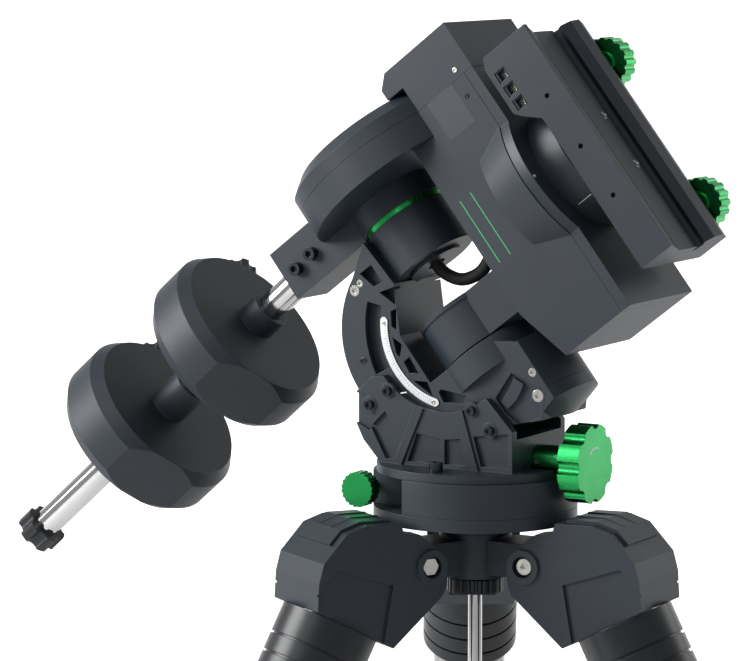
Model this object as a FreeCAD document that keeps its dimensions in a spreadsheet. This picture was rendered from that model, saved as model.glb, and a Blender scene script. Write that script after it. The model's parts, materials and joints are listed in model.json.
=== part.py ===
import FreeCAD, Part
import math
import os
import Sketcher

# Centre-balanced equatorial mount on its tripod head and legs, in millimetres.
# Origin: on the azimuth axis at ground level. +X is south, -X is the pole side, +Z is up.
DRIVING = {
    "tripod_height": 745, "leg_lean": 27.5, "leg_count": 3,
    "hub_radius": 95, "hub_flange": 12, "hub_core": 34, "hub_depth": 66,
    "pivot_reach": 72, "pivot_drop": 47, "pivot_radius": 6, "lug_half": 22,
    "casting_half": 41, "boss_radius": 16,
    "tube_radius": 36, "tube_wall": 2.9, "tube_length": 400, "boot_radius": 46, "boot_length": 78,
    "lower_radius": 33, "lower_length": 420, "foot_radius": 20, "foot_length": 60,
    "rod_radius": 6.5, "rod_length": 280, "rod_knob_radius": 26, "rod_knob_height": 13,
    "base_radius": 95, "base_height": 32, "plate_radius": 92, "plate_height": 8,
    "lug_width": 96, "peg_radius": 5, "peg_reach": 80,
    "azimuth_height": 17.6, "azimuth_knob_radius": 16.5, "azimuth_knob_height": 14, "azimuth_screw": 4,
    "altitude_height": 169, "altitude_setback": 8, "cradle_radius": 77.5,
    "wedge_half": 52.5, "arm_half": 43.7, "wedge_gap": 0.4,
    "altitude_knob_radius": 36.5, "altitude_knob_height": 21, "altitude_hub_radius": 14.2,
    "altitude_screw_height": 46.6, "altitude_screw_radius": 6,
    "latitude": 52.4, "polar_height": 210.4, "polar_setback": 33.3,
    "bearing_radius": 42, "shaft_radius": 27, "shaft_bore": 9, "rotor_radius": 44,
    "stub_radius": 20, "lower_hub_radius": 46, "housing_radius": 65, "band_radius": 52,
    "wheel_radius": 38, "worm_radius": 8, "motor_radius": 13, "worm_gap": 8.4,
    "disc_radius": 101, "disc_offset": 24, "disc_base": 26, "disc_cap": 26,
    "body_half": 65, "body_inner": 76, "body_outer": 161, "cover_thickness": 10,
    "dec_ring_radius": 88, "turntable_radius": 62,
    "saddle_length": 240, "saddle_knob_radius": 24, "saddle_knob_height": 20, "saddle_screw": 5,
    "bar_radius": 14, "bar_start": 79, "bar_length": 449, "bar_tilt": 3.6, "bar_offset": 94,
    "weight_radius": 88, "weight_height": 59, "weight_chamfer": 12, "sleeve_radius": 19.5,
    "weight_knob_radius": 17, "weight_knob_height": 18,
    "end_knob_radius": 22, "end_knob_height": 18, "cable_radius": 6, "fit": 0.05, "gap": 0.3,
}

doc = FreeCAD.newDocument("mount")
sizes = doc.addObject("Spreadsheet::Sheet", "sizes")
for row, (alias, number) in enumerate(DRIVING.items(), 1):
    sizes.set("A%d" % row, str(number))
    sizes.setAlias("A%d" % row, alias)
doc.recompute()

V = FreeCAD.Vector
NODES = []
SERIAL = [0]


def size(alias):
    """The number held in the spreadsheet under this alias."""
    return float(sizes.get(alias))


def fresh(kind, stem):
    """A new document object with a running name."""
    SERIAL[0] += 1
    return doc.addObject(kind, "%s_%03d" % (stem, SERIAL[0]))


def bound(text):
    """A sheet expression in which every alias is written without its sheet name."""
    words = text.replace("(", " ( ").replace(")", " ) ").split()
    return " ".join("sizes." + word if word in DRIVING else word for word in words)


def aimed(at, direction):
    """A placement at a point, with its Z axis along a direction."""
    return FreeCAD.Placement(V(*at), FreeCAD.Rotation(V(0, 0, 1), V(*direction)))


def cylinder(radius, length, at=(0, 0, 0), direction=(0, 0, 1)):
    solid = fresh("Part::Cylinder", "cylinder")
    solid.setExpression("Radius", bound(radius))
    solid.setExpression("Height", bound(length))
    solid.Placement = aimed(at, direction)
    return solid


def cone(start, end, length, at=(0, 0, 0), direction=(0, 0, 1)):
    solid = fresh("Part::Cone", "cone")
    solid.setExpression("Radius1", bound(start))
    solid.setExpression("Radius2", bound(end))
    solid.setExpression("Height", bound(length))
    solid.Placement = aimed(at, direction)
    return solid


def block(low, high):
    """A box between two corners."""
    solid = fresh("Part::Box", "block")
    solid.Length, solid.Width, solid.Height = [b - a for a, b in zip(low, high)]
    solid.Placement.Base = V(*low)
    return solid


def plate(steps, thickness, centre=0.0, flat="side"):
    """An outline of lines and three-point arcs, thickened equally both ways about its plane.

    flat "side" draws in X and Z and thickens along Y; flat "top" draws in X and Y and
    thickens along Z."""
    sketch = fresh("Sketcher::SketchObject", "outline")
    here = V(*steps[0], 0)
    closed = steps[-1][-1] == steps[0]
    for step in steps[1:] + ([] if closed else [steps[0]]):
        if isinstance(step[0], tuple):
            end = V(*step[1], 0)
            sketch.addGeometry(Part.ArcOfCircle(here, V(*step[0], 0), end), False)
        else:
            end = V(*step, 0)
            sketch.addGeometry(Part.LineSegment(here, end), False)
        here = end
    normal = V(0, 0, 1)
    if flat == "side":
        sketch.Placement = FreeCAD.Placement(V(0, centre, 0), FreeCAD.Rotation(V(1, 0, 0), 90))
        normal = V(0, 1, 0)
    else:
        sketch.Placement.Base = V(0, 0, centre)
    solid = fresh("Part::Extrusion", "plate")
    solid.Base = sketch
    solid.DirMode = "Custom"
    solid.Dir = normal
    solid.setExpression("LengthFwd", bound(thickness))
    solid.Symmetric = True
    solid.Solid = True
    return solid


def fuse(*solids):
    if len(solids) == 1:
        return solids[0]
    joined = fresh("Part::MultiFuse", "fuse")
    joined.Shapes = list(solids)
    joined.Refine = True
    return joined


def cut(base, *tools):
    result = fresh("Part::Cut", "cut")
    result.Base = base
    result.Tool = fuse(*tools)
    result.Refine = True
    return result


def common(one, other):
    result = fresh("Part::MultiCommon", "common")
    result.Shapes = [one, other]
    return result


def moved(solid, placement):
    """The solid carried by a placement, on top of the one it has."""
    solid.Placement = placement.multiply(solid.Placement)
    return solid


def node(name, solid, *frames):
    """Names a finished piece and puts it in place, the innermost frame last."""
    total = FreeCAD.Placement()
    for frame in frames:
        total = total.multiply(frame)
    solid.Placement = total.multiply(solid.Placement)
    solid.Label = name
    NODES.append(solid)
    return solid


def around(count, radius, start=0.0):
    """Points evenly spaced on a circle, as (x, y) pairs."""
    turns = [math.radians(start + 360.0 * k / count) for k in range(count)]
    return [(radius * math.cos(a), radius * math.sin(a)) for a in turns]


def fluted(radius, height, count, depth, at=(0, 0, 0), direction=(0, 0, 1)):
    """A round knob with scallops cut round its rim, standing on the point 'at'."""
    knob = cylinder(radius, height)
    reach = size(radius) + depth * 0.4
    scallops = [cylinder("%g" % depth, height, (x, y, 0)) for x, y in around(count, reach)]
    knob = cut(knob, *scallops)
    return moved(knob, aimed(at, direction))


def socket_screw(head, head_height, shank, shank_length, at, direction):
    """A socket-head screw; 'at' is under the head and 'direction' points out of the head."""
    top = cylinder("%g" % head, "%g" % head_height)
    hexagon = [(x, y) for x, y in around(6, head * 0.55)]
    socket = plate(hexagon, "%g" % head_height, head_height, "top")
    stem = cylinder("%g" % shank, "%g" % shank_length, (0, 0, -shank_length))
    return moved(fuse(cut(top, socket), stem), aimed(at, direction))


# Frames. 'base' stands on the tripod top; 'polar' has X along the declination axis,
# Z towards the pole and its origin where the two axes cross.
BASE = FreeCAD.Placement(V(0, 0, size("tripod_height")), FreeCAD.Rotation())
POLAR = FreeCAD.Placement(
    V(-size("polar_setback"), 0, size("polar_height")),
    FreeCAD.Rotation(V(0, 1, 0), size("latitude") - 90))
BAR = FreeCAD.Placement(
    V(0, 0, size("bar_offset")), FreeCAD.Rotation(V(0, 1, 0), -90 - size("bar_tilt")))


def leg_frame(k):
    turn = FreeCAD.Rotation(V(0, 0, 1), 360.0 * k / size("leg_count"))
    return FreeCAD.Placement(V(0, 0, 0), turn)


# ---------------------------------------------------------------- tripod
LEAN = math.radians(size("leg_lean"))
TUBE_FRAME = FreeCAD.Placement(
    V(167, 0, -119), FreeCAD.Rotation(V(0, 0, 1), V(math.sin(LEAN), 0, -math.cos(LEAN))))
PIVOT = (size("pivot_reach"), -size("pivot_drop"))


def tripod_hub():
    depth = size("hub_depth")
    flange = cylinder("hub_radius", "hub_flange", (0, 0, -size("hub_flange")))
    core = cylinder("hub_core", "hub_depth", (0, 0, -depth))
    taper = cone("hub_core", "hub_core + 26", "14", (0, 0, -size("hub_flange") - 14))
    pieces = [flange, core, taper]
    holes = [cylinder("rod_radius + 2 * fit", "hub_depth + 1", (0, 0, -depth - 0.5))]
    for k in range(3):
        lug = block((0, -size("lug_half"), -62), (size("pivot_reach"), size("lug_half"), -30))
        eye = cylinder("boss_radius", "2 * lug_half",
                       (PIVOT[0], -size("lug_half"), PIVOT[1]), (0, 1, 0))
        hole = cylinder("pivot_radius + fit", "3 * lug_half",
                        (PIVOT[0], -1.5 * size("lug_half"), PIVOT[1]), (0, 1, 0))
        pieces.append(moved(fuse(lug, eye), leg_frame(k)))
        holes.append(moved(hole, leg_frame(k)))
    pieces.append(cylinder("peg_radius", "azimuth_height + 4", (-size("peg_reach"), 0, 0)))
    node("tripod_hub", cut(fuse(*pieces), *holes), BASE)


def pivot_bolts():
    """Three bolts across the hub lugs, each with a round head and a nut."""
    bolts = []
    for k in range(3):
        reach = 34.3
        stem = cylinder("pivot_radius", "%g" % (2 * reach), (PIVOT[0], -reach, PIVOT[1]), (0, 1, 0))
        head = cylinder("7.5", "6", (PIVOT[0], -reach, PIVOT[1]), (0, -1, 0))
        socket = cylinder("3.5", "4", (PIVOT[0], -reach - 2.5, PIVOT[1]), (0, -1, 0))
        nut = plate(around(6, 8.5), "6", 0, "top")
        moved(nut, aimed((PIVOT[0], reach + 3, PIVOT[1]), (0, 1, 0)))
        bolts.append(moved(cut(fuse(stem, head, nut), socket), leg_frame(k)))
    node("pivot_bolts", fuse(*bolts), BASE)


def centre_rod():
    top = size("base_height") - 10
    node("centre_rod", cylinder("rod_radius", "rod_length", (0, 0, top - size("rod_length"))), BASE)


def rod_knob():
    low = -size("hub_depth") - 3 - size("rod_knob_height")
    knob = fluted("rod_knob_radius", "rod_knob_height", 24, 2.2, (0, 0, low))
    washer = cylinder("rod_knob_radius - 8", "2.6", (0, 0, low + size("rod_knob_height")))
    hole = cylinder("rod_radius + fit", "30", (0, 0, low - 5))
    node("rod_knob", cut(fuse(knob, washer), hole), BASE)


def leg_casting(k):
    """The yoke that hangs on the hub: two cheeks, a pivot boss on each, and a tube socket."""
    half = size("casting_half")
    outline = [(66, -30), (84, -16), (101, -13.5), (104, -4), (140, -3), (160, -9), (184, -34),
               (189, -52), (190.5, -77), (112, -118.5), (60, -75), ((55, -57), (66, -30))]
    body = plate(outline, "2 * casting_half")
    bosses = [cylinder("boss_radius", "3", (PIVOT[0], side * half, PIVOT[1]), (0, side, 0))
              for side in (-1, 1)]
    lid = plate([(108, -4), (139, -3), (159, -9), (171, -21), (166, -26), (108, -20)], "62")
    lid_raised = moved(lid, FreeCAD.Placement(V(2.2, 0, 2.6), FreeCAD.Rotation()))
    ribs = [plate([(112, 0), (139, 0.6), (161, -6), (160, -14), (112, -14)], "3", side * 11)
            for side in (-1, 1)]
    slot = block((20, -size("lug_half") - 0.5, -140), (98, size("lug_half") + 0.5, 10))
    hole = cylinder("pivot_radius + fit", "4 * casting_half", (PIVOT[0], -2 * half, PIVOT[1]), (0, 1, 0))
    recesses = [cylinder("10", "20", (PIVOT[0], side * 34, PIVOT[1]), (0, side, 0))
                for side in (-1, 1)]
    bore = moved(cylinder("tube_radius", "80", (0, 0, -60)), TUBE_FRAME)
    sides = [plate([(112, -60), (170, -40), (190, -62), (184, -84), (122, -115)], "8",
                   side * (half + 1)) for side in (-1, 1)]
    casting = cut(fuse(body, lid_raised, *ribs, *bosses), slot, hole, *recesses, *sides, bore)
    node("leg_casting_%d" % (k + 1), casting, BASE, leg_frame(k))


def leg_boot(k):
    """The ribbed sleeve below the casting."""
    start = -25.7
    sleeve = cylinder("boot_radius", "boot_length", (0, 0, start))
    tip = cone("boot_radius", "boot_radius - 5", "6", (0, 0, start + size("boot_length")))
    grooves = []
    for z in (2, 20, 38):
        ring = cylinder("boot_radius + 2", "2.4", (0, 0, z))
        grooves.append(cut(ring, cylinder("boot_radius - 2.5", "2.4", (0, 0, z))))
    bore = cylinder("tube_radius", "boot_length + 20", (0, 0, start - 5))
    node("leg_boot_%d" % (k + 1), cut(fuse(sleeve, tip), bore, *grooves),
         BASE, leg_frame(k), TUBE_FRAME)


def leg_tube(k):
    """The polished upper tube with its clamp collar and wing screw at the lower end."""
    end = size("tube_length") - 60
    tube = cylinder("tube_radius", "tube_length", (0, 0, -60))
    collar = cylinder("tube_radius + 9", "46", (0, 0, end - 40))
    ear = block((30, -8, end - 32), (62, 8, end - 2))
    screw = cylinder("9", "22", (62, 0, end - 17), (1, 0, 0))
    bore = cylinder("tube_radius - tube_wall", "tube_length + 20", (0, 0, -70))
    node("leg_tube_%d" % (k + 1), cut(fuse(tube, collar, ear, screw), bore),
         BASE, leg_frame(k), TUBE_FRAME)


def lower_start():
    """Where the lower tube begins, measured down the leg, so that the foot meets the ground."""
    ground = (size("tripod_height") - 119 - 22 * math.sin(LEAN)) / math.cos(LEAN)
    return ground - size("foot_length") - size("lower_length") + 12


def leg_lower(k):
    start = lower_start()
    tube = cylinder("lower_radius", "lower_length", (0, 0, start))
    bore = cylinder("lower_radius - tube_wall", "lower_length + 2", (0, 0, start - 1))
    node("leg_lower_%d" % (k + 1), cut(tube, bore), BASE, leg_frame(k), TUBE_FRAME)


def leg_foot(k):
    """A rubber foot cut flat where it stands on the ground."""
    start = lower_start() + size("lower_length")
    sole = cylinder("foot_radius + 14", "14", (0, 0, start))
    tip = cone("foot_radius + 14", "foot_radius", "foot_length", (0, 0, start + 14))
    foot = moved(fuse(sole, tip), TUBE_FRAME)
    drop = -size("tripod_height")
    under = block((300, -100, drop - 200), (900, 100, drop))
    node("leg_foot_%d" % (k + 1), cut(foot, under), BASE, leg_frame(k))


# ---------------------------------------------------------------- azimuth base and wedge
WEDGE_BOSSES = [(-64, 107), (-83, 93), (24, 95), (43, 78)]
WEDGE_RIBS = [
    [(-35, 95), (-25, 95), (-49, 39), (-57, 39)],
    [(7, 95), (15, 95), (32, 39), (24, 39)],
]
WEDGE_POCKETS = [
    [(-100, 104), (-87, 102), (-88, 91), (-76, 86), (-83, 69), (-100, 77)],
    [(-82, 73), (-67, 88), (-49, 64), (-58, 44), (-66, 44)],
    [(-33, 70), (-8, 66), (-8, 43), (-43, 43)],
    [(-4, 66), (12, 68), (19, 43), (-4, 43)],
    [(26, 71), (62, 76), (62, 44), (34, 44)],
]


def base_ring():
    """The azimuth ring, cut back on the pole side to a lug that straddles the tripod peg."""
    radius = size("base_radius")
    half = size("lug_width") / 2
    height = size("base_height")
    ring = cylinder("base_radius", "base_height - gap", (0, 0, size("gap")))
    notches = [block((-radius - 5, half, -5), (-27, radius + 5, height + 5)),
               block((-radius - 5, -radius - 5, -5), (-27, -half, height + 5))]
    axis = size("azimuth_height")
    peg_slot = block((-size("peg_reach") - 12, -15.5, -5), (-size("peg_reach") + 12, 15.5, axis + 8))
    bore = cylinder("rod_radius + 2 * fit", "base_height", (0, 0, -8))
    screw = cylinder("azimuth_screw + fit", "2 * base_radius",
                     (-size("peg_reach"), -radius, axis), (0, 1, 0))
    bolts = [cylinder("3 + fit", "30", (0, side * 76, 10)) for side in (-1, 1)]
    node("base_ring", cut(ring, *notches, peg_slot, bore, screw, *bolts), BASE)


def azimuth_knob(name, side):
    """A fluted thumb knob on the screw that pushes the peg sideways."""
    reach = -size("peg_reach")
    axis = size("azimuth_height")
    screw = cylinder("azimuth_screw", "52", (reach, side * 16, axis), (0, side, 0))
    knob = fluted("azimuth_knob_radius", "azimuth_knob_height", 20, 1.6,
                  (reach, side * 68, axis), (0, side, 0))
    node(name, fuse(screw, knob), BASE)


def wedge():
    """Base plate, two ribbed cheeks with a round cradle, and the block behind the altitude screw."""
    top = size("base_height") + size("plate_height")
    half = size("wedge_half")
    inner = size("arm_half") + size("wedge_gap")
    floor = cylinder("plate_radius", "plate_height", (0, 0, size("base_height")))
    outline = [(-70, top - 2), (66, top - 2), (66, 78), (40, 106), (-20, 125), (-66, 121), (-80, 120),
               (-97, 105), (-97, 74), (-90, 60)]
    solid = plate(outline, "2 * wedge_half")
    ribs = [plate(shape, "2 * wedge_half + 4") for shape in WEDGE_RIBS]
    cradle = cylinder("cradle_radius", "3 * wedge_half",
                      (-size("altitude_setback"), -1.5 * half, size("altitude_height")), (0, 1, 0))
    between = block((-120, -inner, top), (120, inner, 200))
    cheeks = cut(fuse(solid, *ribs), cradle, between)
    south = block((40, -inner, top - 2), (66, inner, 70))
    hollow = cylinder("altitude_screw_radius + fit", "60", (20, 0, size("altitude_screw_height")), (1, 0, 0))
    step = block((66, -16, size("base_height") + 0.2), (120, 16, top + 1))
    pockets = []
    for side in (-1, 1):
        face = side * (half + 1)
        pockets += [plate(shape, "9", face) for shape in WEDGE_POCKETS]
    holes = [cylinder("3 + fit", "30", (0, side * 76, 20)) for side in (-1, 1)]
    bosses = []
    for side in (-1, 1):
        for x, z in WEDGE_BOSSES:
            bosses.append(cylinder("7.5", "7", (x, side * (half - 6.5), z), (0, side, 0)))
            holes.append(cylinder("2.5", "6", (x, side * (half - 3.5), z), (0, side, 0)))
    shape = cut(fuse(cut(fuse(floor, cheeks), *pockets), south, *bosses), *holes, hollow, step)
    node("wedge", shape, BASE)


def wedge_bolts():
    """Four socket screws in each cheek and the two bolts that lock the azimuth."""
    top = size("base_height") + size("plate_height")
    face = size("wedge_half") + 0.5
    bolts = []
    for side in (-1, 1):
        for x, z in WEDGE_BOSSES:
            bolts.append(socket_screw(4.5, 3.5, 2.5, 3.5, (x, side * face, z), (0, side, 0)))
        bolts.append(socket_screw(6.5, 9, 3, 20, (0, side * 76, top), (0, 0, 1)))
    node("wedge_bolts", fuse(*bolts), BASE)


def altitude_knob():
    """Large lobed knob on a long hub, with the steel screw that pushes the arm."""
    axis = size("altitude_screw_height")
    screw = cylinder("altitude_screw_radius", "44", (26, 0, axis), (1, 0, 0))
    hub = cylinder("altitude_hub_radius", "38", (66.3, 0, axis), (1, 0, 0))
    knob = fluted("altitude_knob_radius", "altitude_knob_height", 8, 7, (103, 0, axis), (1, 0, 0))
    node("altitude_knob", fuse(screw, hub, knob), BASE)


# ---------------------------------------------------------------- altitude arm
def polar_point(along_dec, along_polar):
    """A point of the meridian plane given in the polar frame, in base coordinates (x, z)."""
    spot = POLAR.multVec(V(along_dec, 0, along_polar))
    return (spot.x, spot.z)


def altitude_arm():
    """The C-shaped casting: two bearings joined by a trussed arc."""
    half = size("arm_half")
    outer_mid = (-118.6, 160)
    heel = (-20.6 + 98 * math.cos(math.radians(-62)), 162.4 + 98 * math.sin(math.radians(-62)))
    low_mid = (-20.6 + 98 * math.cos(math.radians(-125)), 162.4 + 98 * math.sin(math.radians(-125)))
    outline = [polar_point(-30, 63), (-107, 208), (outer_mid, (-104, 111)), (low_mid, heel),
               (92, 90), polar_point(47, -150), polar_point(47, -100), polar_point(20, -80.5),
               polar_point(-50, -80.5), polar_point(-50, -28), polar_point(-26, 14)]
    web = plate(outline, "2 * arm_half")
    upper = moved(cylinder("bearing_radius", "48", (0, 0, 17)), POLAR)
    band = moved(cylinder("band_radius", "26", (0, 0, -106.5)), POLAR)
    housing = moved(cylinder("housing_radius", "50", (0, 0, -150)), POLAR)
    slab = plate([(-60, 84), (24, 76), (92, 90), (140, 90), (140, 220), (-60, 220)], "2 * arm_half")
    solid = fuse(web, upper, band, common(housing, slab))
    worm_axis = -size("wheel_radius") - size("worm_gap")
    bores = [moved(cylinder("shaft_radius + fit", "70", (0, 0, 5)), POLAR),
             moved(cylinder("lower_hub_radius + 3", "47.8", (0, 0, -80.2)), POLAR),
             moved(cylinder("stub_radius + fit", "50", (0, 0, -126)), POLAR),
             moved(cylinder("wheel_radius + 2", "20", (0, 0, -112)), POLAR),
             moved(cylinder("worm_radius + 1", "64", (worm_axis, -32, -103), (0, 1, 0)), POLAR),
             moved(cylinder("motor_radius + 1", "60", (0, -30, -136), (0, 1, 0)), POLAR)]
    pockets = []
    for side in (-1, 1):
        face = side * (half - 3)
        for shape in ARM_WINDOWS:
            pockets.append(plate(shape, "14", face))
        pockets.append(plate(arc_slot(), "12", face))
        pockets.append(cut(plate(LOCK_POCKET, "8", side * half), plate(LOCK_BLOCK, "8", side * half)))
        for x, z, radius in ARM_SCREWS:
            pockets.append(cylinder("%g" % radius, "8", (x, side * (half - 4), z), (0, side, 0)))
            pockets.append(cylinder("2", "10", (x, side * (half - 12), z), (0, side, 0)))
    node("altitude_arm", cut(solid, *bores, *pockets), BASE)


ARM_WINDOWS = [
    [(-99, 213), (-87, 222), (-75, 207), (-84, 202)],
    [(-78, 197), (-62, 203), (-61, 186)],
    [(-66, 180), (-60, 183), (-60, 163), (-65, 166)],
    [(-64, 156), (-54, 150), (-56, 138), (-60, 141)],
    [(-52, 134), (-46, 139), (-36, 124), (-46, 124)],
    [(-42, 117), (-27, 117), (-21, 104)],
    [(-15, 108), (-13, 111), (14, 107), (11, 100), (-10, 99)],
]
LOCK_POCKET = [(60, 131), (91.5, 118.5), (89, 93), (71, 82), (54.5, 94), (44, 107)]
LOCK_BLOCK = [(62.5, 127), (72.5, 121.5), ((66, 108), (56, 97.5)), (50, 104), ((57, 114), (62.5, 127))]
ARM_SCREWS = [(-105, 197, 5.2), (-99.5, 204, 3.6), (-95, 132, 3.6), (81, 133, 4.2), (87, 112, 5.6)]


def arc_points(centre, radius, start, end):
    """Start, middle and end points of an arc in the X-Z plane, angles in degrees."""
    angles = [math.radians(a) for a in (start, (start + end) / 2, end)]
    return [(centre[0] + radius * math.cos(a), centre[1] + radius * math.sin(a)) for a in angles]


def band_outline(centre, inner, outer, start, end):
    """A curved strip between two radii."""
    far = arc_points(centre, outer, start, end)
    near = arc_points(centre, inner, end, start)
    return [far[0], (far[1], far[2]), near[0], (near[1], near[2])]


def arc_slot():
    return band_outline((7, 167), 84, 100, 168, 208)


def latitude_scale():
    """Curved scale plate let into the near face of the arm."""
    strip = plate(band_outline((-1, 168), 68, 75.5, 178, 256), "1", -size("arm_half") - 0.5)
    first, _, last = arc_points((-1, 168), 71.75, 178, 256)
    ends = [cylinder("3.75", "1", (x, -size("arm_half"), z), (0, -1, 0)) for x, z in (first, last)]
    node("latitude_scale", fuse(strip, *ends), BASE)


def arm_screws():
    """Countersunk and button screws flush with both faces of the arm."""
    screws = []
    for side in (-1, 1):
        for x, z, radius in ARM_SCREWS:
            seat = (x, side * (size("arm_half") - 4), z)
            screws.append(socket_screw(radius, 3.6, 2, 8, seat, (0, side, 0)))
    node("arm_screws", fuse(*screws), BASE)


def ra_rear_cover():
    """The domed cap over the drive at the lower end of the polar axis."""
    cap = moved(cylinder("housing_radius", "11.7", (0, 0, -162)), POLAR)
    dome = moved(cone("30", "housing_radius", "12", (0, 0, -174)), POLAR)
    slab = plate([(24, 78), (92, 90.3), (150, 90.3), (150, 220), (24, 220)], "2 * arm_half")
    heel = plate([polar_point(-60, -150), polar_point(47.3, -150), (92.3, 90), (92.3, 50)],
                 "2 * arm_half + 2")
    node("ra_rear_cover", cut(common(fuse(cap, dome), slab), heel), BASE)


# ---------------------------------------------------------------- polar axis, moving side
def ra_shaft():
    tube = cylinder("shaft_radius", "57", (0, 0, 14))
    flange = cylinder("rotor_radius", "21.3", (0, 0, 70.5))
    node("ra_shaft", cut(fuse(tube, flange), cylinder("shaft_bore", "100", (0, 0, 0))), BASE, POLAR)


def ra_trim_ring():
    ring = cut(cylinder("bearing_radius - 0.5", "5", (0, 0, 65.4)),
               cylinder("shaft_radius", "5", (0, 0, 65.4)))
    node("ra_trim_ring", ring, BASE, POLAR)


def ra_lower_hub():
    """The hub that carries the body on the lower bearing, with its stub shaft."""
    hub = cylinder("lower_hub_radius", "45", (0, 0, -78))
    rim = cut(cylinder("lower_hub_radius + 1.2", "4", (0, 0, -37)),
              cylinder("lower_hub_radius - 6", "4", (0, 0, -37)))
    bridge = block((0, -38, -78), (size("body_inner"), 38, -33))
    stub = cylinder("stub_radius", "44.5", (0, 0, -122.5))
    hollow = cylinder("lower_hub_radius - 8", "30", (0, 0, -63))
    node("ra_lower_hub", fuse(cut(fuse(hub, bridge), hollow), rim, stub), BASE, POLAR)


def ra_worm_wheel():
    wheel = cut(cylinder("wheel_radius", "16", (0, 0, -111)), cylinder("stub_radius", "16", (0, 0, -111)))
    axis = -size("wheel_radius") - size("worm_gap")
    throat = cylinder("worm_radius", "60", (axis, -30, -103), (0, 1, 0))
    node("ra_worm_wheel", cut(wheel, throat), BASE, POLAR)


def ra_worm():
    axis = -size("wheel_radius") - size("worm_gap")
    worm = cylinder("worm_radius", "30", (axis, -15, -103), (0, 1, 0))
    shaft = cylinder("4", "60", (axis, -30, -103), (0, 1, 0))
    node("ra_worm", fuse(worm, shaft), BASE, POLAR)


def ra_motor():
    node("ra_motor", cylinder("motor_radius", "56", (0, -28, -136), (0, 1, 0)), BASE, POLAR)


def disc(length, start, grow="0"):
    return cylinder("disc_radius + " + grow, length, (size("disc_offset"), 0, start))


def gear_cover_base():
    """The deep round pan at the pole end."""
    start = 92
    pan = disc("disc_base", start)
    hollow = disc("disc_base - 8", start + 8, "-6")
    node("gear_cover_base", cut(pan, hollow), BASE, POLAR)


def gear_cover_cap():
    """The lid over the pan, with a smaller raised cap."""
    start = 92 + size("disc_base") + size("gap")
    lid = disc("disc_cap - 12", start)
    shoulder = cone("disc_radius", "disc_radius - 14", "12",
                    (size("disc_offset"), 0, start + size("disc_cap") - 12))
    raised = cylinder("56", "6", (size("disc_offset") - 8, 0, start + size("disc_cap")))
    hollow = disc("disc_cap - 12", start, "-6")
    node("gear_cover_cap", cut(fuse(lid, shoulder, raised), hollow), BASE, POLAR)


def bar_arm():
    """The block that holds the counterweight bar."""
    outline = [(-130, 66), (-62, 66), (-40, 66), (-10, 74), (-10, 117), (-130, 117)]
    solid = plate(outline, "54")
    tools = [disc("40", 91.9), cylinder("rotor_radius", "30", (0, 0, 65)),
             cylinder("bearing_radius + 2", "40", (0, 0, 30)),
             moved(cylinder("bar_radius", "80", (0, 0, 60)), BAR)]
    for w, u in CLAMP_SPOTS:
        tools.append(cylinder("4", "20", (w, -30, u), (0, 1, 0)))
    node("bar_arm", cut(solid, *tools), BASE, POLAR)


CLAMP_SPOTS = [(-112, 89), (-90, 91)]


def bar_clamp_screws():
    screws = [socket_screw(6.3, 8, 4, 11, (w, -27, u), (0, -1, 0)) for w, u in CLAMP_SPOTS]
    node("bar_clamp_screws", fuse(*screws), BASE, POLAR)


def dec_body():
    """The long body between the polar hubs and the declination ring, cored out behind its cover."""
    inner = size("body_inner")
    outer = size("body_outer")
    outline = [(inner, 117.9), (outer, 117.9), (outer, -142), (92, -142), (inner, -88)]
    slab = plate(outline, "2 * body_half")
    ring = cone("dec_ring_radius - 9", "dec_ring_radius", "36", (outer - 36, 0, 0), (1, 0, 0))
    side = size("wheel_radius") + size("worm_gap")
    tools = [disc("40", 91.7), cylinder("stub_radius + fit", "100", (inner + 10, 0, 0), (1, 0, 0)),
             cylinder("wheel_radius + 2", "22", (117, 0, 0), (1, 0, 0)),
             cylinder("turntable_radius + 0.4", "30", (149, 0, 0), (1, 0, 0)),
             cylinder("worm_radius + 1", "84", (128, side, -42)),
             cylinder("motor_radius + 0.5", "60", (128, side, 42)),
             block((98, -57, -134), (outer + 1, 57, -66)),
             block((84, -57, 66), (outer + 1, 28, 84))]
    node("dec_body", cut(fuse(slab, ring), *tools), BASE, POLAR)


def dec_cover():
    """Outer plate over the body with the round rim of the declination ring."""
    start = size("body_outer") + size("gap")
    half = size("body_half")
    slab = block((start, -half, -142), (start + size("cover_thickness"), half, 117.9))
    rim = cylinder("dec_ring_radius - 1", "cover_thickness", (start, 0, 0), (1, 0, 0))
    hole = cylinder("turntable_radius + 0.4", "40", (start - 10, 0, 0), (1, 0, 0))
    node("dec_cover", cut(fuse(slab, rim), hole), BASE, POLAR)


def head_box():
    """The box above the body that holds the main board and connectors."""
    outline = [(84, 118.2), (171.5, 118.2), (171.5, 167), (94, 167), (82, 156), (82, 130)]
    solid = plate(outline, "2 * body_half")
    tools = [disc("27", 118, "0.3"), cylinder("56.3", "7", (size("disc_offset") - 8, 0, 144)),
             block((120, -55, 124), (165, 55, 161))]
    node("head_box", cut(solid, *tools), BASE, POLAR)


def side_knob():
    """A small round cap on the far side of the body."""
    node("side_knob", cylinder("11", "10", (118, size("body_half") + 0.3, -120), (0, 1, 0)), BASE, POLAR)


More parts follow.
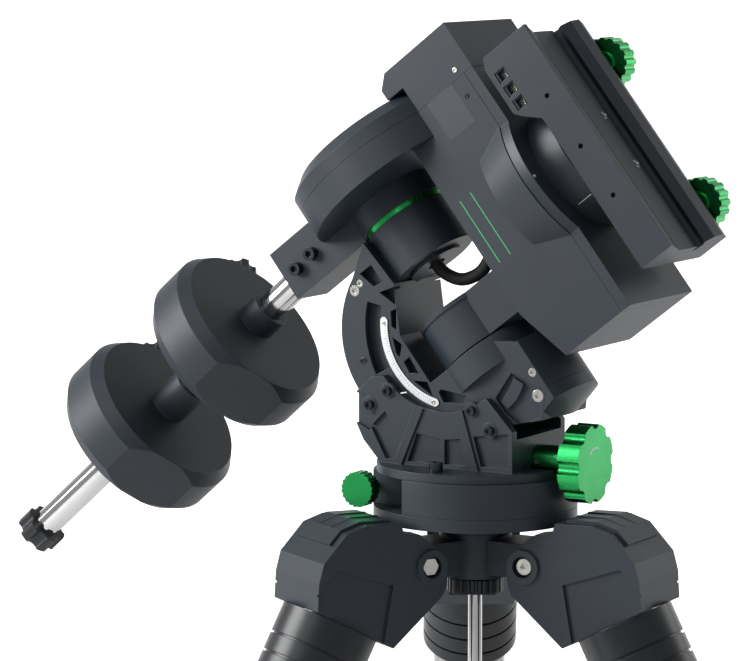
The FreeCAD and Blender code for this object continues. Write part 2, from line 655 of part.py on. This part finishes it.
def cable_loop():
    """The cable from the hollow shaft to the body: straight runs joined by tangent arcs."""
    route = [V(0, 0, 30), V(0, 0, 4), V(12, 0, -14), V(34, 0, -20), V(54, 0, -12), V(75.8, 0, -12)]
    edges = []
    here = route[0]
    for before, corner, after in zip(route, route[1:], route[2:]):
        into = (corner - before).normalize()
        out = (after - corner).normalize()
        trim = 0.45 * min((corner - before).Length, (after - corner).Length)
        first = corner - into * trim
        last = corner + out * trim
        half_turn = math.acos(max(-1.0, min(1.0, into.dot(out)))) / 2
        radius = trim / math.tan(half_turn)
        inward = (out - into).normalize()
        centre = corner + inward * (radius / math.cos(half_turn))
        middle = centre - inward * radius
        edges.append(Part.makeLine(here, first))
        edges.append(Part.Arc(first, middle, last).toShape())
        print("cable arc radius %.1f" % radius)
        here = last
    edges.append(Part.makeLine(here, route[-1]))
    wire = Part.Wire(edges)
    section = Part.Wire(Part.makeCircle(size("cable_radius"), route[0], route[1] - route[0]))
    tube = wire.makePipeShell([section], True, True)
    print("cable length %.1f volume %.0f section x length %.0f" % (
        wire.Length, tube.Volume, math.pi * size("cable_radius") ** 2 * wire.Length))
    piece = fresh("Part::Feature", "cable")
    piece.Shape = tube
    node("cable_loop", piece, BASE, POLAR)


# ---------------------------------------------------------------- declination axis and saddle
def dec_shaft():
    """Turntable and shaft that carry the saddle."""
    table = cylinder("turntable_radius", "46", (152, 0, 0), (1, 0, 0))
    shaft = cylinder("stub_radius", "64", (90, 0, 0), (1, 0, 0))
    node("dec_shaft", fuse(table, shaft), BASE, POLAR)


def dec_worm_wheel():
    wheel = cut(cylinder("wheel_radius", "16", (120, 0, 0), (1, 0, 0)),
                cylinder("stub_radius", "16", (120, 0, 0), (1, 0, 0)))
    throat = cylinder("worm_radius", "80", (128, size("wheel_radius") + size("worm_gap"), -40))
    node("dec_worm_wheel", cut(wheel, throat), BASE, POLAR)


def dec_worm():
    side = size("wheel_radius") + size("worm_gap")
    worm = cylinder("worm_radius", "30", (128, side, -15))
    shaft = cylinder("4", "80", (128, side, -40))
    node("dec_worm", fuse(worm, shaft), BASE, POLAR)


def dec_motor():
    side = size("wheel_radius") + size("worm_gap")
    node("dec_motor", cylinder("motor_radius", "47", (128, side, 44)), BASE, POLAR)


SADDLE_CENTRE = -2.5


def saddle_plate():
    """The long plate with its fixed sloping jaw."""
    section = [(198, -58), (198, 60), (216, 60), (216, 13), (222, 13), (222, -25), (234, -58)]
    node("saddle_plate", plate(section, "saddle_length", SADDLE_CENTRE, "top"), BASE, POLAR)


def saddle_panel():
    """Side panel with the accessory ports, deeper at its pole end."""
    length = size("saddle_length") / 2
    low = SADDLE_CENTRE - length
    high = SADDLE_CENTRE + length
    outline = [(235, low), (235, high), (184, high), (179, high - 10),
               (179, 60), (186, 52), (200, 40), (200, low)]
    solid = plate(outline, "6", -61.3)
    ports = [block((184.5, -70, u - 5.5), (196.5, -60, u + 5.5)) for u in (94, 79, 64)]
    holes = [cylinder("2.4", "8", (216, -68, u), (0, 1, 0)) for u in (53, -2, -55)]
    node("saddle_panel", cut(solid, *ports, *holes), BASE, POLAR)


def saddle_jaw():
    """The moving jaw with its V groove."""
    section = [(216.3, 17), (216.3, 60), (231, 60), (238, 40), (236, 26), (229, 17), (223, 22)]
    solid = plate(section, "saddle_length", SADDLE_CENTRE, "top")
    holes = [cylinder("saddle_screw + fit", "50", (224, 30, u), (0, 1, 0)) for u in SADDLE_KNOBS]
    node("saddle_jaw", cut(solid, *holes), BASE, POLAR)


SADDLE_KNOBS = [SADDLE_CENTRE + 79, SADDLE_CENTRE - 79]


def saddle_knob(name, u):
    shank = cylinder("saddle_screw", "36", (224, 32, u), (0, 1, 0))
    knob = fluted("saddle_knob_radius", "saddle_knob_height", 16, 3, (224, 63, u), (0, 1, 0))
    collar = cylinder("11", "6", (224, 60.3, u), (0, 1, 0))
    node(name, fuse(shank, knob, collar), BASE, POLAR)


# ---------------------------------------------------------------- counterweight bar
def counterweight_bar():
    bar = cylinder("bar_radius", "bar_length", (0, 0, size("bar_start")))
    node("counterweight_bar", bar, BASE, POLAR, BAR)


KNOB_TURN = 48.0


def weight(name, start, reach):
    """An iron weight with two flats, bevelled rims and a sleeve that reaches up the bar."""
    height = size("weight_height")
    bevel = size("weight_chamfer")
    radius = size("weight_radius")
    mid = cylinder("weight_radius", "weight_height - 2 * weight_chamfer", (0, 0, start + bevel))
    low = cone("weight_radius - weight_chamfer * 0.7", "weight_radius", "weight_chamfer", (0, 0, start))
    high = cone("weight_radius", "weight_radius - weight_chamfer * 0.7", "weight_chamfer",
                (0, 0, start + height - bevel))
    flats = []
    for turn in (45, 225):
        spin = FreeCAD.Placement(V(0, 0, 0), FreeCAD.Rotation(V(0, 0, 1), turn))
        slice_off = block((radius * 0.895, -radius, start - 5), (radius * 1.2, radius, start + height + 5))
        flats.append(moved(slice_off, spin))
    sleeve = cylinder("sleeve_radius", "weight_height + %g" % (reach + 8), (0, 0, start - reach))
    bore = cylinder("bar_radius + 2 * fit", "weight_height + 80", (0, 0, start - 50))
    spot = math.radians(KNOB_TURN)
    outward = (math.cos(spot), math.sin(spot), 0)
    screw = cylinder("5 + fit", "100", (outward[0] * 15, outward[1] * 15, start + height / 2), outward)
    node(name, cut(fuse(cut(fuse(mid, low, high), *flats), sleeve), bore, screw), BASE, POLAR, BAR)


def weight_knob(name, start):
    """The lock screw of a weight: a lobed knob on a radial screw."""
    middle = start + size("weight_height") / 2
    spot = math.radians(KNOB_TURN)
    outward = (math.cos(spot), math.sin(spot), 0)
    near = [16 * c for c in outward[:2]] + [middle]
    far = [(size("weight_radius") + 8) * c for c in outward[:2]] + [middle]
    screw = cylinder("5", "84", tuple(near), outward)
    knob = fluted("weight_knob_radius", "weight_knob_height", 6, 6, tuple(far), outward)
    node(name, fuse(screw, knob), BASE, POLAR, BAR)


def bar_end_knob():
    """The lobed stop screwed into the end of the bar."""
    end = size("bar_start") + size("bar_length")
    knob = fluted("end_knob_radius", "end_knob_height", 6, 7, (0, 0, end + 0.3))
    node("bar_end_knob", knob, BASE, POLAR, BAR)


def build_all():
    tripod_hub()
    pivot_bolts()
    centre_rod()
    rod_knob()
    for k in range(3):
        leg_casting(k)
        leg_boot(k)
        leg_tube(k)
        leg_lower(k)
        leg_foot(k)
    base_ring()
    azimuth_knob("azimuth_knob_near", -1)
    azimuth_knob("azimuth_knob_far", 1)
    wedge()
    wedge_bolts()
    altitude_knob()
    altitude_arm()
    latitude_scale()
    arm_screws()
    ra_rear_cover()
    ra_motor()
    ra_worm()
    ra_shaft()
    ra_trim_ring()
    ra_lower_hub()
    ra_worm_wheel()
    gear_cover_base()
    gear_cover_cap()
    bar_arm()
    bar_clamp_screws()
    dec_body()
    dec_cover()
    head_box()
    side_knob()
    cable_loop()
    dec_shaft()
    dec_worm_wheel()
    dec_worm()
    dec_motor()
    saddle_plate()
    saddle_panel()
    saddle_jaw()
    saddle_knob("saddle_knob_upper", SADDLE_KNOBS[0])
    saddle_knob("saddle_knob_lower", SADDLE_KNOBS[1])
    counterweight_bar()
    weight("weight_upper", 198, 23)
    weight("weight_lower", 333, 38)
    weight_knob("weight_knob_upper", 198)
    weight_knob("weight_knob_lower", 333)
    bar_end_knob()


build_all()
doc.recompute()
for item in doc.Objects:
    if "Invalid" in item.State or "Error" in item.State:
        raise RuntimeError("%s (%s) failed to build: %s" % (item.Name, item.Label, item.State))
os.makedirs("parts", exist_ok=True)
for item in NODES:
    shape = item.Shape
    if shape.isNull() or not shape.isValid() or not shape.Solids:
        raise RuntimeError("%s has no valid solid" % item.Label)
    shape.exportStep("parts/%s.step" % item.Label)
    print("%-20s solids %d volume %.0f" % (item.Label, len(shape.Solids), shape.Volume))
print("nodes", len(NODES))
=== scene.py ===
import json
import math

import bmesh
import bpy
from mathutils import Matrix, Vector


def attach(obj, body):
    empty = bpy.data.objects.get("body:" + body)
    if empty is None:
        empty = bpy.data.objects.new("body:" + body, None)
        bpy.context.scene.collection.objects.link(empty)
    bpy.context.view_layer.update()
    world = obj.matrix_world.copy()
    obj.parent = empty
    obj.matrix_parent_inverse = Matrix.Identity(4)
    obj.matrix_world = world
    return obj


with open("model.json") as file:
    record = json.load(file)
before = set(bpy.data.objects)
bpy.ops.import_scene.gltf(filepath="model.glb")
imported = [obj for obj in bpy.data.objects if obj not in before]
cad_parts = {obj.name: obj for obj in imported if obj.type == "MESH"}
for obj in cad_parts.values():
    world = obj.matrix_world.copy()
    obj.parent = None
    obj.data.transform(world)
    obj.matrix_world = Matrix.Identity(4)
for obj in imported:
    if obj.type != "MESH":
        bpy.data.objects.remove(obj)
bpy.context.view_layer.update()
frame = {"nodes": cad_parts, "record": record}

MM = 0.001
TRIPOD_HEIGHT = 745
LATITUDE = math.radians(52.4)
POLAR_ORIGIN = Vector((-33.3, 0, 210.4 + TRIPOD_HEIGHT))
# Unit vectors of the polar frame: along the declination axis, across, and towards the pole.
ACROSS_POLE = Vector((math.sin(LATITUDE), 0, math.cos(LATITUDE)))
SIDEWAYS = Vector((0, 1, 0))
TO_POLE = Vector((-math.cos(LATITUDE), 0, math.sin(LATITUDE)))

NEAR = (0, -1, 0)  # out of a near face, towards the viewer's side
BODY_FACE = -65.0
COVER_FACE = 171.3
SADDLE_FLOOR = 222.0
SCALE_CENTRE = (-1.0, 168.0)
SCALE_FACE = -44.7
KNOB_HEIGHT = 46.6
PORTS = (94, 79, 64)
PRINT_HEIGHT = 0.12
VIEW_TURN = 30.1  # how far round the camera, the lights and the wall stand, in degrees


# ---------------------------------------------------------------- frames, in millimetres
def polar(w, y, u):
    """A point of the polar frame, in metres in the row frame."""
    return (POLAR_ORIGIN + w * ACROSS_POLE + y * SIDEWAYS + u * TO_POLE) * MM


def base(x, y, z):
    """A point measured from the tripod top, in metres in the row frame."""
    return Vector((x, y, z + TRIPOD_HEIGHT)) * MM


def turned(at, out, along):
    """A matrix at a point with Z out of the surface and X along a direction on it."""
    z = Vector(out).normalized()
    x = Vector(along).normalized()
    y = z.cross(x)
    return Matrix.Translation(at) @ Matrix((x, y, z)).transposed().to_4x4()


# ---------------------------------------------------------------- materials
def new_material(name):
    """An empty material with its shader, and the object coordinates every pattern uses."""
    mat = bpy.data.materials.new(name)
    mat.use_nodes = True
    tree = mat.node_tree
    shader = tree.nodes["Principled BSDF"]
    coords = tree.nodes.new("ShaderNodeTexCoord")
    return mat, tree, shader, coords.outputs["Object"]


def noise(tree, coords, scale, detail=3.0, stretch=(1, 1, 1)):
    """Noise with a pattern size set per metre, drawn out along the object's axes by stretch."""
    mapping = tree.nodes.new("ShaderNodeMapping")
    mapping.inputs["Scale"].default_value = stretch
    tree.links.new(coords, mapping.inputs["Vector"])
    texture = tree.nodes.new("ShaderNodeTexNoise")
    texture.inputs["Scale"].default_value = scale
    texture.inputs["Detail"].default_value = detail
    tree.links.new(mapping.outputs["Vector"], texture.inputs["Vector"])
    return texture.outputs["Fac"]


def ramp(tree, factor, dark, light, low=0.3, high=0.7):
    """A colour that runs from dark to light as the factor rises."""
    node = tree.nodes.new("ShaderNodeValToRGB")
    node.color_ramp.elements[0].position = low
    node.color_ramp.elements[1].position = high
    node.color_ramp.elements[0].color = (*dark, 1)
    node.color_ramp.elements[1].color = (*light, 1)
    tree.links.new(factor, node.inputs["Fac"])
    return node.outputs["Color"]


def spread(tree, factor, low, high):
    """A number between low and high, following the factor."""
    node = tree.nodes.new("ShaderNodeMapRange")
    node.inputs["From Min"].default_value = 0.3
    node.inputs["From Max"].default_value = 0.7
    node.inputs["To Min"].default_value = low
    node.inputs["To Max"].default_value = high
    tree.links.new(factor, node.inputs["Value"])
    return node.outputs["Result"]


def relief(tree, shader, factor, height_mm, strength, edge_mm):
    """Raises the surface by the factor and rounds its sharp edges; gives the rounded normal."""
    edge = tree.nodes.new("ShaderNodeBevel")
    edge.samples = 6
    edge.inputs["Radius"].default_value = edge_mm * MM
    node = tree.nodes.new("ShaderNodeBump")
    node.inputs["Distance"].default_value = height_mm * MM
    node.inputs["Strength"].default_value = strength
    tree.links.new(factor, node.inputs["Height"])
    tree.links.new(edge.outputs["Normal"], node.inputs["Normal"])
    tree.links.new(node.outputs["Normal"], shader.inputs["Normal"])
    return edge.outputs["Normal"]


def worn_edges(tree, rounded, colour, worn, amount):
    """The colour, a little lighter where an edge is rounded off and so would be rubbed."""
    flat = tree.nodes.new("ShaderNodeNewGeometry")
    agreement = tree.nodes.new("ShaderNodeVectorMath")
    agreement.operation = "DOT_PRODUCT"
    tree.links.new(flat.outputs["Normal"], agreement.inputs[0])
    tree.links.new(rounded, agreement.inputs[1])
    share = tree.nodes.new("ShaderNodeMapRange")
    share.inputs["From Min"].default_value = 0.995
    share.inputs["From Max"].default_value = 0.86
    share.inputs["To Max"].default_value = amount
    tree.links.new(agreement.outputs["Value"], share.inputs["Value"])
    mix = tree.nodes.new("ShaderNodeMix")
    mix.data_type = "RGBA"
    mix.inputs[7].default_value = (*worn, 1)
    tree.links.new(share.outputs["Result"], mix.inputs[0])
    tree.links.new(colour, mix.inputs[6])
    return mix.outputs[2]


def coated(name, dark, light, rough, grain, height, edge=0.7):
    """Powder coat: a fine even grain under a broad, faint change of tone, rubbed at its edges."""
    mat, tree, shader, coords = new_material(name)
    fine = noise(tree, coords, grain, 2.0)
    broad = noise(tree, coords, 14.0, 4.0)
    rounded = relief(tree, shader, fine, height, 0.35, edge)
    worn = tuple(2.2 * part for part in light)
    tone = worn_edges(tree, rounded, ramp(tree, broad, dark, light), worn, 0.5)
    tree.links.new(tone, shader.inputs["Base Color"])
    tree.links.new(spread(tree, fine, rough - 0.05, rough + 0.07), shader.inputs["Roughness"])
    shader.inputs["Specular IOR Level"].default_value = 0.4
    return mat


def metal(name, dark, light, rough, scale=220.0, stretch=(1, 1, 1), height=0.004, swing=0.03):
    """Bare or anodised metal with faint machining marks."""
    mat, tree, shader, coords = new_material(name)
    marks = noise(tree, coords, scale, 3.0, stretch)
    broad = noise(tree, coords, 18.0, 2.0)
    tree.links.new(ramp(tree, broad, dark, light), shader.inputs["Base Color"])
    tree.links.new(spread(tree, marks, rough - swing, rough + swing), shader.inputs["Roughness"])
    shader.inputs["Metallic"].default_value = 1.0
    relief(tree, shader, marks, height, 0.25, 0.4)
    return mat


def printed(name, dark, light, rough=0.5):
    """Printed or painted marks: nearly even, with a slight mottle."""
    mat, tree, shader, coords = new_material(name)
    mottle = noise(tree, coords, 900.0, 2.0)
    tree.links.new(ramp(tree, mottle, dark, light), shader.inputs["Base Color"])
    tree.links.new(spread(tree, mottle, rough - 0.06, rough + 0.06), shader.inputs["Roughness"])
    return mat


MATERIALS = {
    "black_coat": coated("black_coat", (0.0135, 0.0195, 0.0275), (0.0175, 0.0240, 0.0325),
                          0.44, 2600, 0.03),
    "black_iron": coated("black_iron", (0.0125, 0.0180, 0.0245), (0.0165, 0.0225, 0.0300),
                          0.48, 1500, 0.07, 1.4),
    "black_plastic": coated("black_plastic", (0.006, 0.008, 0.010), (0.009, 0.011, 0.014),
                          0.34, 1900, 0.03),
    "rubber": coated("rubber", (0.008, 0.008, 0.009), (0.012, 0.012, 0.013), 0.66, 900, 0.06),
    "black_oxide": metal("black_oxide", (0.035, 0.036, 0.040), (0.060, 0.062, 0.068), 0.28, 900),
    "steel_tube": metal("steel_tube", (0.34, 0.34, 0.34), (0.42, 0.42, 0.42), 0.20, 400),
    "chrome": metal("chrome", (0.50, 0.50, 0.50), (0.60, 0.60, 0.60), 0.09, 600, swing=0.02),
    "steel": metal("steel", (0.58, 0.57, 0.54), (0.68, 0.67, 0.64), 0.26, 900),
    "scale_plate": metal("scale_plate", (0.66, 0.66, 0.68), (0.78, 0.78, 0.80), 0.40, 1200),
    "bronze": metal("bronze", (0.42, 0.26, 0.10), (0.52, 0.34, 0.14), 0.32, 500),
    "motor_case": metal("motor_case", (0.38, 0.38, 0.38), (0.46, 0.46, 0.47), 0.4, 300),
    "green_anodised": metal("green_anodised", (0.025, 0.33, 0.085), (0.035, 0.42, 0.115),
                          0.27, 1400),
    "green_print": printed("green_print", (0.02, 0.36, 0.09), (0.03, 0.44, 0.12)),
    "white_print": printed("white_print", (0.70, 0.70, 0.70), (0.80, 0.80, 0.80)),
    # dark print for the scale ticks; also the painted shade of the knob's cross hole
    "dark_print_and_hole_shade": printed("dark_print_and_hole_shade", (0.05, 0.05, 0.055), (0.08, 0.08, 0.085)),
    "label_film": printed("label_film", (0.030, 0.036, 0.043), (0.036, 0.042, 0.050), 0.34),
    "contact_gold": metal("contact_gold", (0.62, 0.50, 0.24), (0.74, 0.62, 0.32), 0.25, 900),
}
# The material slot each look belongs to, where the two names differ.
# CAD nodes that wear another look than their slot's.
NODE_LOOK = {
    "latitude_scale": "scale_plate",
    "wedge_bolts": "black_oxide",
    "bar_clamp_screws": "black_oxide",
}


def dress_frame():
    """Every CAD node gets its finish."""
    slots = {s["node"]: s["material_slot"] for s in frame["record"]["subparts"]}
    for name, node in frame["nodes"].items():
        look = MATERIALS[NODE_LOOK.get(name, slots[name])]
        for held in node.material_slots:
            held.material = look
        if not node.material_slots:
            node.data.materials.append(look)


# ---------------------------------------------------------------- small pieces
def make(name, look, body, build):
    """A mesh piece built by a function into a bmesh, finished and fixed to a CAD body."""
    mesh = bpy.data.meshes.new(name)
    shape = bmesh.new()
    build(shape)
    bmesh.ops.recalc_face_normals(shape, faces=shape.faces)
    shape.to_mesh(mesh)
    shape.free()
    obj = bpy.data.objects.new(name, mesh)
    bpy.context.scene.collection.objects.link(obj)
    mesh.materials.append(MATERIALS[look])
    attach(obj, body)
    return obj


def prism(shape, outline, height, place):
    """A flat outline raised by a height, in millimetres, put in place by a matrix."""
    low = [shape.verts.new(place @ (Vector((x, y, 0)) * MM)) for x, y in outline]
    high = [shape.verts.new(place @ (Vector((x, y, height)) * MM)) for x, y in outline]
    shape.faces.new(low[::-1])
    shape.faces.new(high)
    count = len(outline)
    for k in range(count):
        shape.faces.new((low[k], low[(k + 1) % count], high[(k + 1) % count], high[k]))


def bar_outline(length, width):
    """A rectangle about its centre."""
    x, y = length / 2, width / 2
    return [(-x, -y), (x, -y), (x, y), (-x, y)]


def screw_head(shape, place, radius, height, socket):
    """A chamfered round head with a round socket sunk in it."""
    count = 24
    profile = [(radius, 0.0), (radius, height * 0.6), (radius * 0.86, height), (socket, height),
               (socket, height * 0.3)]
    rings = [[shape.verts.new(place @ (Vector((r * math.cos(a), r * math.sin(a), z)) * MM))
              for a in (2 * math.pi * k / count for k in range(count))] for r, z in profile]
    for one, other in zip(rings, rings[1:]):
        for k in range(count):
            shape.faces.new((one[k], one[(k + 1) % count], other[(k + 1) % count], other[k]))
    shape.faces.new(rings[-1])
    shape.faces.new(rings[0][::-1])


def small_screws():
    """Fixing screws of the head box, the declination cover and the body."""
    spots = [("head_box_screw", polar(155, -65.1, 126), NEAR, 2.6, "steel"),
             ("cover_screw", polar(COVER_FACE, -83, -1), ACROSS_POLE, 2.2, "steel"),
             ("body_plug", polar(150.6, BODY_FACE, 100.4), NEAR, 2.4, "black_plastic")]
    for name, at, out, radius, look in spots:
        place = turned(at, out, TO_POLE)
        make(name, look, "polar_head",
             lambda shape: screw_head(shape, place, radius, 0.7, radius * 0.5))


def label_panel():
    """A blank satin label on the near face of the body."""
    place = turned(polar(128.7, BODY_FACE, 97.9), NEAR, TO_POLE)
    make("blank_label", "label_film", "polar_head",
         lambda shape: prism(shape, bar_outline(41, 32), PRINT_HEIGHT, place))


def pinstripes():
    """Two thin green lines beside each other on the near face of the body."""
    for name, w in (("pinstripe_inner", 87.5), ("pinstripe_outer", 100.8)):
        place = turned(polar(w, BODY_FACE, -4.5), NEAR, TO_POLE)
        make(name, "green_print", "polar_head",
             lambda shape: prism(shape, bar_outline(67.6, 0.8), PRINT_HEIGHT, place))


def latitude_ticks():
    """Degree marks along the silver scale, longer every ten degrees."""
    centre = SCALE_CENTRE
    inner, first, last, step = 69.3, 181.0, 253.0, 2.0

    def build(shape):
        count = int((last - first) / step) + 1
        for k in range(count):
            angle = math.radians(first + k * step)
            length = 3.6 if k % 5 == 0 else 1.8
            out = Vector((math.cos(angle), 0, math.sin(angle)))
            middle = inner + length / 2
            at = base(centre[0] + middle * out.x, SCALE_FACE, centre[1] + middle * out.z)
            prism(shape, bar_outline(length, 0.35), 0.08, turned(at, NEAR, out))

    make("latitude_ticks", "dark_print_and_hole_shade", "altitude_frame", build)


def scale_screws():
    """The two small screws that hold the silver scale, one near each end."""
    radius = 71.8

    def build(shape):
        for degrees in (179.5, 254.5):
            angle = math.radians(degrees)
            at = base(SCALE_CENTRE[0] + radius * math.cos(angle), SCALE_FACE,
                      SCALE_CENTRE[1] + radius * math.sin(angle))
            screw_head(shape, turned(at, NEAR, (1, 0, 0)), 2.1, 0.6, 1.0)

    make("scale_screws", "steel", "altitude_frame", build)


def index_mark():
    """The short white line on the cradle that the scale is read against."""
    along = Vector((1, 0, 0.18))
    place = turned(base(-47.1, -52.5, 106.6), NEAR, along)
    make("index_mark", "white_print", "azimuth_head",
         lambda shape: prism(shape, bar_outline(6.5, 1.0), PRINT_HEIGHT, place))


def turn_arrow():
    """A curved white arrow on the face of the altitude knob."""
    face, radius, first, last, half = 124.0, 15.0, 60.0, 128.0, 0.6
    place = turned(base(face, 0, KNOB_HEIGHT), (1, 0, 0), (0, 1, 0))

    def build(shape):
        steps = 16
        turns = [math.radians(first + (last - first) * k / steps) for k in range(steps + 1)]
        outer = [((radius + half) * math.cos(a), (radius + half) * math.sin(a)) for a in turns]
        inner = [((radius - half) * math.cos(a), (radius - half) * math.sin(a)) for a in turns]
        for k in range(steps):
            prism(shape, [inner[k], outer[k], outer[k + 1], inner[k + 1]], PRINT_HEIGHT, place)
        end = turns[-1]
        tip = math.radians(last + 13)
        head = [((radius + 3 * half) * math.cos(end), (radius + 3 * half) * math.sin(end)),
                (radius * math.cos(tip), radius * math.sin(tip)),
                ((radius - 3 * half) * math.cos(end), (radius - 3 * half) * math.sin(end))]
        prism(shape, head, PRINT_HEIGHT, place)

    make("turn_arrow", "white_print", "altitude_screw", build)


def port_contacts():
    """A row of four thin contacts deep inside each of the three ports of the side panel."""
    def build(shape):
        for u in PORTS:
            for k in range(4):
                at = polar(193.2, -60.0, u + 1.7 * (k - 1.5))
                prism(shape, bar_outline(0.45, 2.2), 0.3, turned(at, NEAR, TO_POLE))

    make("port_contacts", "contact_gold", "declination_head", build)


def port_sockets():
    """A black moulded liner in each port, with a keyed mouth."""
    walls = ((186.0, 0, 11, 2.4), (190.9, -4.9, 1.2, 7.4), (190.9, 4.9, 1.2, 7.4), (195.6, 0, 11, 1.6))

    def build(shape):
        for u in PORTS:
            for w, du, long, wide in walls:
                at = polar(w, -61.0, u + du)
                prism(shape, bar_outline(long, wide), 2.6, turned(at, NEAR, TO_POLE))

    make("port_sockets", "black_plastic", "declination_head", build)


def spring_clips():
    """Two bright leaf clips standing in the floor of the saddle."""
    def build(shape):
        for u in (23.0, -30.5):
            for k, lift in enumerate((0.0, 0.9, 0.0)):
                at = polar(SADDLE_FLOOR, 3.0, u + 2.6 * (k - 1))
                prism(shape, bar_outline(2.2, 5.0), 0.5 + lift, turned(at, ACROSS_POLE, TO_POLE))

    make("spring_clips", "steel", "declination_head", build)


def turntable_mark():
    """The fine index line along the rim of the turntable."""
    angle = math.radians(-38)
    out = -math.cos(angle) * SIDEWAYS + math.sin(angle) * TO_POLE
    at = polar(184.0, 0, 0) + 61.9 * MM * out
    place = turned(at, out, ACROSS_POLE)
    make("turntable_mark", "white_print", "declination_head",
         lambda shape: prism(shape, bar_outline(16, 0.7), 0.15, place))


def painted_cross_hole_shade():
    """A flat dark disc on the neck of the altitude knob: painted shade in place of its cross hole."""
    place = turned(base(71, -13.95, KNOB_HEIGHT), NEAR, (1, 0, 0))
    ring = [(2.4 * math.cos(math.pi * k / 8), 2.4 * math.sin(math.pi * k / 8)) for k in range(16)]
    # painted shade: a dark disc stands where the cross hole's shade falls
    make("painted_cross_hole_shade", "dark_print_and_hole_shade", "altitude_screw",
         lambda shape: prism(shape, ring, 0.5, place))


def dark_arm_screw():
    """One blackened socket screw at the pole side of the arm, over its bright shank."""
    place = turned(base(-95, -43.75, 132), NEAR, (1, 0, 0))
    make("dark_arm_screw", "black_oxide", "altitude_frame",
         lambda shape: screw_head(shape, place, 3.5, 0.5, 1.9))


# ---------------------------------------------------------------- stage, light, camera
def backdrop():
    """A pale floor that curves up into a wall, which glows so that it stays white."""
    mat, tree, shader, coords = new_material("studio_paper")
    fibre = noise(tree, coords, 40.0, 2.0)
    paper = ramp(tree, fibre, (0.88, 0.88, 0.88), (0.91, 0.91, 0.91))
    tree.links.new(paper, shader.inputs["Base Color"])
    shader.inputs["Roughness"].default_value = 0.9
    depth = tree.nodes.new("ShaderNodeSeparateXYZ")
    tree.links.new(coords, depth.inputs["Vector"])
    far_back = tree.nodes.new("ShaderNodeMapRange")
    far_back.inputs["From Min"].default_value = 1.2
    far_back.inputs["From Max"].default_value = 2.6
    far_back.inputs["To Max"].default_value = 0.9
    tree.links.new(depth.outputs["Y"], far_back.inputs["Value"])
    low_down = tree.nodes.new("ShaderNodeMapRange")
    low_down.inputs["From Min"].default_value = 1.7
    low_down.inputs["From Max"].default_value = 1.25
    tree.links.new(depth.outputs["Z"], low_down.inputs["Value"])
    glow = tree.nodes.new("ShaderNodeMath")
    glow.operation = "MULTIPLY"
    tree.links.new(far_back.outputs["Result"], glow.inputs[0])
    tree.links.new(low_down.outputs["Result"], glow.inputs[1])
    tree.links.new(glow.outputs["Value"], shader.inputs["Emission Strength"])
    shader.inputs["Emission Color"].default_value = (1, 1, 1, 1)
    half, back, front, high, bend = 9.0, 5.0, -7.0, 7.0, 2.0
    profile = [(front, 0.0), (back - bend, 0.0)]
    profile += [(back - bend + bend * math.sin(t), bend - bend * math.cos(t))
                for t in (math.pi / 2 * k / 16 for k in range(1, 17))]
    profile.append((back, high))
    mesh = bpy.data.meshes.new("studio_floor")
    shape = bmesh.new()
    rows = [[shape.verts.new((side * half, y, z)) for side in (-1, 1)] for y, z in profile]
    for one, other in zip(rows, rows[1:]):
        shape.faces.new((one[0], one[1], other[1], other[0]))
    bmesh.ops.recalc_face_normals(shape, faces=shape.faces)
    shape.to_mesh(mesh)
    shape.free()
    for polygon in mesh.polygons:
        polygon.use_smooth = True
    floor = bpy.data.objects.new("studio_floor", mesh)
    floor.rotation_euler = (0, 0, math.radians(VIEW_TURN))
    bpy.context.scene.collection.objects.link(floor)
    mesh.materials.append(mat)


def softbox(name, azimuth, elevation, distance, width, power):
    """A square area light aimed at the middle of the mount; azimuth 0 is the viewer's side."""
    data = bpy.data.lights.new(name, "AREA")
    data.shape = "SQUARE"
    data.size = width
    data.energy = power
    lamp = bpy.data.objects.new(name, data)
    bpy.context.scene.collection.objects.link(lamp)
    a, e = math.radians(azimuth + VIEW_TURN), math.radians(elevation)
    aim = Vector((0, 0, 0.9))
    toward = Vector((math.sin(a) * math.cos(e), -math.cos(a) * math.cos(e), math.sin(e)))
    lamp.location = aim + distance * toward
    lamp.rotation_euler = (lamp.location - aim).to_track_quat("Z", "Y").to_euler()


def lights():
    """An even white world, one strong softbox on the left and two weak ones."""
    world = bpy.data.worlds.new("studio")
    bpy.context.scene.world = world
    world.use_nodes = True
    world.node_tree.nodes["Background"].inputs["Color"].default_value = (1, 1, 1, 1)
    world.node_tree.nodes["Background"].inputs["Strength"].default_value = 0.42
    softbox("key_left", -82, 20, 2.6, 1.5, 95)
    softbox("front_left", -38, 34, 3.0, 1.2, 12)
    softbox("rim_right", 112, 18, 2.8, 1.2, 12)
    bpy.context.scene.view_settings.view_transform = "Standard"


def camera():
    """Stands 30 degrees round from the side of the mount and looks slightly down."""
    a, e = math.radians(VIEW_TURN), math.radians(6.9)
    right = Vector((math.cos(a), math.sin(a), 0))
    up = Vector((-math.sin(a) * math.sin(e), math.cos(a) * math.sin(e), math.cos(e)))
    back = Vector((math.sin(a) * math.cos(e), -math.cos(a) * math.cos(e), math.sin(e)))
    data = bpy.data.cameras.new("view")
    data.sensor_width = 36
    data.lens = 165.1
    data.clip_end = 50
    eye = bpy.data.objects.new("view", data)
    bpy.context.scene.collection.objects.link(eye)
    place = Matrix((right, up, back)).transposed().to_4x4()
    place.translation = Vector((1.5027, -2.7786, TRIPOD_HEIGHT * MM + 0.5437))
    eye.matrix_world = place
    bpy.context.scene.camera = eye


dress_frame()
label_panel()
pinstripes()
small_screws()
latitude_ticks()
scale_screws()
index_mark()
turn_arrow()
port_contacts()
port_sockets()
spring_clips()
turntable_mark()
painted_cross_hole_shade()
dark_arm_screw()
backdrop()
lights()
camera()
